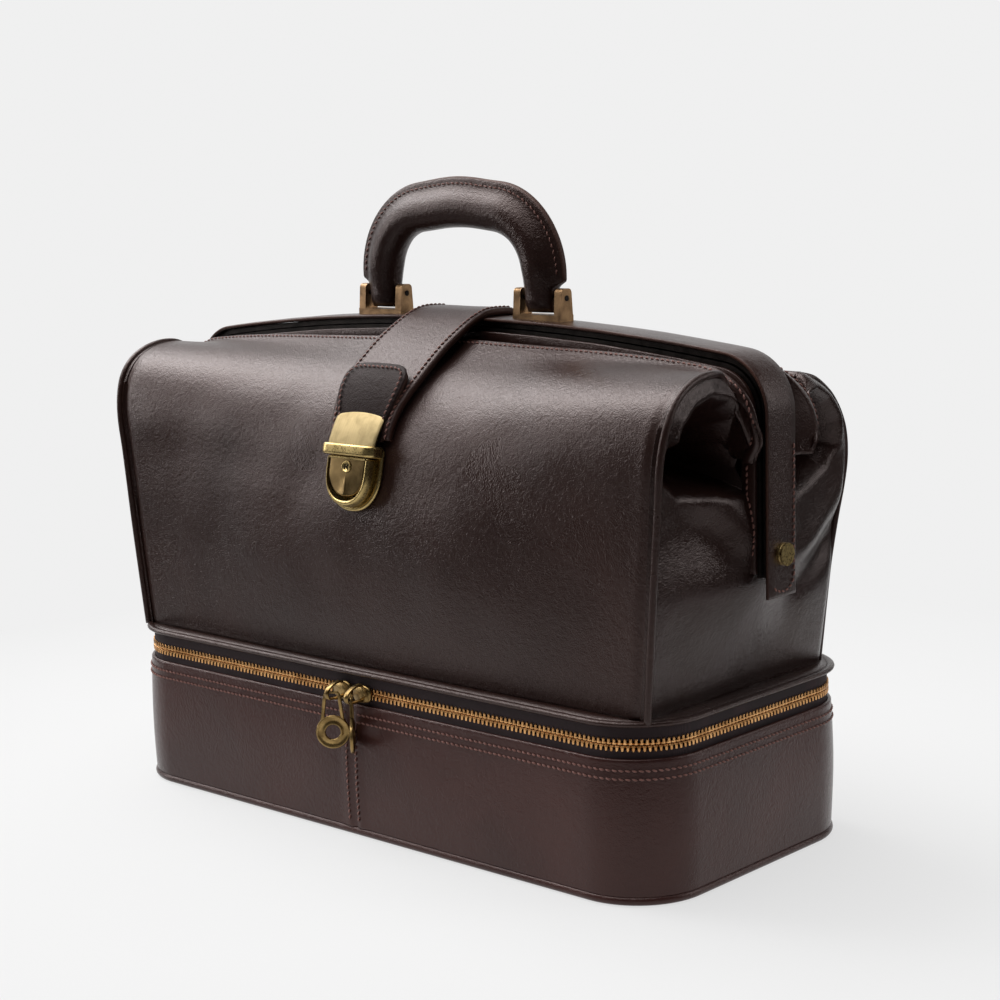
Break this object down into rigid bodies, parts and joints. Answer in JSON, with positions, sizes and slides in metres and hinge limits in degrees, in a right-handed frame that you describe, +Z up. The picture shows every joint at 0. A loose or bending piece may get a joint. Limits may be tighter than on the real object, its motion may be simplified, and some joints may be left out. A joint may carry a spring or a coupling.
{
  "type": "doctor bag",
  "caption": "Leather doctor bag with a hinged frame mouth, top handle, closing strap with tongue lock, and a zipped lower tray.",
  "frame": {"origin": "centre of the tray's underside on the floor", "axes": "+X along the bag to its right end, -Y out of the front with the lock, +Z up"},
  "size_m": [0.4228, 0.1949, 0.3437],
  "materials": {
    "bag_leather": "glossy smooth calf leather, dark chocolate",
    "tray_leather": "glossy smooth calf leather, a redder brown",
    "lining": "woven suede-look lining",
    "board": "pressed leather board",
    "rope": "twisted cord core",
    "zip_tape": "woven zip tape",
    "zip_metal": "polished copper-brass",
    "lock_metal": "brushed antique brass",
    "thumb_metal": "darkened antique brass",
    "slider_metal": "antique brass",
    "bracket_metal": "matt bronze-brass",
    "frame_steel": "plated steel"
  },
  "bodies": {
    "tray": {"tray_bottom": "tray_leather", "tray_board": "board", "tray_piping": "tray_leather", "tray_left_wall": "tray_leather", "tray_right_wall": "tray_leather", "tray_seam_backing": "tray_leather", "rear_hinge_strip": "tray_leather", "lower_zip_tape": "zip_tape", "lower_zip_teeth": "zip_metal"},
    "upper": {"upper_zip_tape": "zip_tape", "upper_zip_teeth": "zip_metal", "base_welt": "bag_leather", "base_board": "board", "divider_lining": "lining", "floor_lining": "lining", "front_panel": "bag_leather", "rear_panel": "bag_leather", "front_panel_top": "bag_leather", "rear_panel_top": "bag_leather", "left_gusset": "bag_leather", "right_gusset": "bag_leather", "left_gusset_front_fold": "bag_leather", "left_gusset_rear_fold": "bag_leather", "right_gusset_front_fold": "bag_leather", "right_gusset_rear_fold": "bag_leather", "left_front_piping": "bag_leather", "left_rear_piping": "bag_leather", "right_front_piping": "bag_leather", "right_rear_piping": "bag_leather", "lock_base": "lock_metal", "lock_case": "lock_metal", "lock_loop": "lock_metal", "lock_spring": "frame_steel", "lock_back_plate": "frame_steel", "lock_screws": "frame_steel", "frame_rivets": "lock_metal", "pivot_patches": "bag_leather"},
    "rear_frame": {"rear_jaw": "frame_steel", "frame_band": "bag_leather", "rear_jaw_facing": "bag_leather", "left_handle_bracket": "bracket_metal", "right_handle_bracket": "bracket_metal", "bracket_rivets": "frame_steel", "handle_pins": "frame_steel", "strap_anchor": "bag_leather"},
    "front_frame": {"front_jaw": "frame_steel", "front_jaw_facing": "bag_leather"},
    "handle": {"handle_core": "rope", "handle_leather": "bag_leather", "handle_eyes": "frame_steel"},
    "strap": {"closing_strap": "bag_leather", "strap_tab": "bag_leather", "lock_tongue": "lock_metal"},
    "lock_slide": {"lock_thumb_plate": "thumb_metal"},
    "key_barrel": {"key_cylinder": "lock_metal"},
    "left_zip_slider": {"left_slider": "slider_metal"},
    "right_zip_slider": {"right_slider": "slider_metal"},
    "left_zip_puller": {"left_puller": "slider_metal"},
    "right_zip_puller": {"right_puller": "slider_metal"}
  },
  "joints": [
    {"name": "tray_opening", "type": "hinge", "parent": "tray", "child": "upper", "pos_m": [0, 0.0915, 0.08], "axis": [-1, 0, 0], "range_deg": [0, 75], "deforming": ["rear_hinge_strip"]},
    {"name": "front_jaw_opening", "type": "hinge", "parent": "upper", "child": "front_frame", "pos_m": [0, 0, 0.161], "axis": [1, 0, 0], "range_deg": [0, 30], "deforming": ["front_panel_top", "left_gusset_front_fold", "right_gusset_front_fold"]},
    {"name": "rear_jaw_opening", "type": "hinge", "parent": "upper", "child": "rear_frame", "pos_m": [0, 0, 0.161], "axis": [-1, 0, 0], "range_deg": [0, 30], "deforming": ["rear_panel_top", "left_gusset_rear_fold", "right_gusset_rear_fold"]},
    {"name": "handle_swing", "type": "hinge", "parent": "rear_frame", "child": "handle", "pos_m": [0, 0, 0.2805], "axis": [-1, 0, 0], "range_deg": [-80, 80]},
    {"name": "strap_lift", "type": "hinge", "parent": "rear_frame", "child": "strap", "pos_m": [0, -0.0123, 0.2726], "axis": [-1, 0, 0], "range_deg": [0, 95]},
    {"name": "lock_press", "type": "slide", "parent": "upper", "child": "lock_slide", "axis": [0, -0.2079, -0.9781], "range_m": [0, 0.0016], "stiffness_N_per_m": 900, "springref_m": -0.002},
    {"name": "key_turn", "type": "hinge", "parent": "lock_slide", "child": "key_barrel", "pos_m": [0, -0.08777, 0.19752], "axis": [0, -0.9781, 0.2079], "range_deg": [0, 90]},
    {"name": "left_slider_run", "type": "slide", "parent": "tray", "child": "left_zip_slider", "axis": [-1, 0, 0], "range_m": [0, 0.138]},
    {"name": "right_slider_run", "type": "slide", "parent": "tray", "child": "right_zip_slider", "axis": [1, 0, 0], "range_m": [0, 0.138]},
    {"name": "left_puller_swing", "type": "hinge", "parent": "left_zip_slider", "child": "left_zip_puller", "pos_m": [-0.0094, -0.0972, 0.0785], "axis": [-1, 0, 0], "range_deg": [0, 78]},
    {"name": "right_puller_swing", "type": "hinge", "parent": "right_zip_slider", "child": "right_zip_puller", "pos_m": [0.0054, -0.0972, 0.0785], "axis": [-1, 0, 0], "range_deg": [0, 78]}
  ],
  "couplings": [
    {"joint": "front_jaw_opening", "follows": "rear_jaw_opening", "ratio": 1},
    {"joint": "strap_lift", "follows": "rear_jaw_opening", "ratio": 3.16}
  ]
}
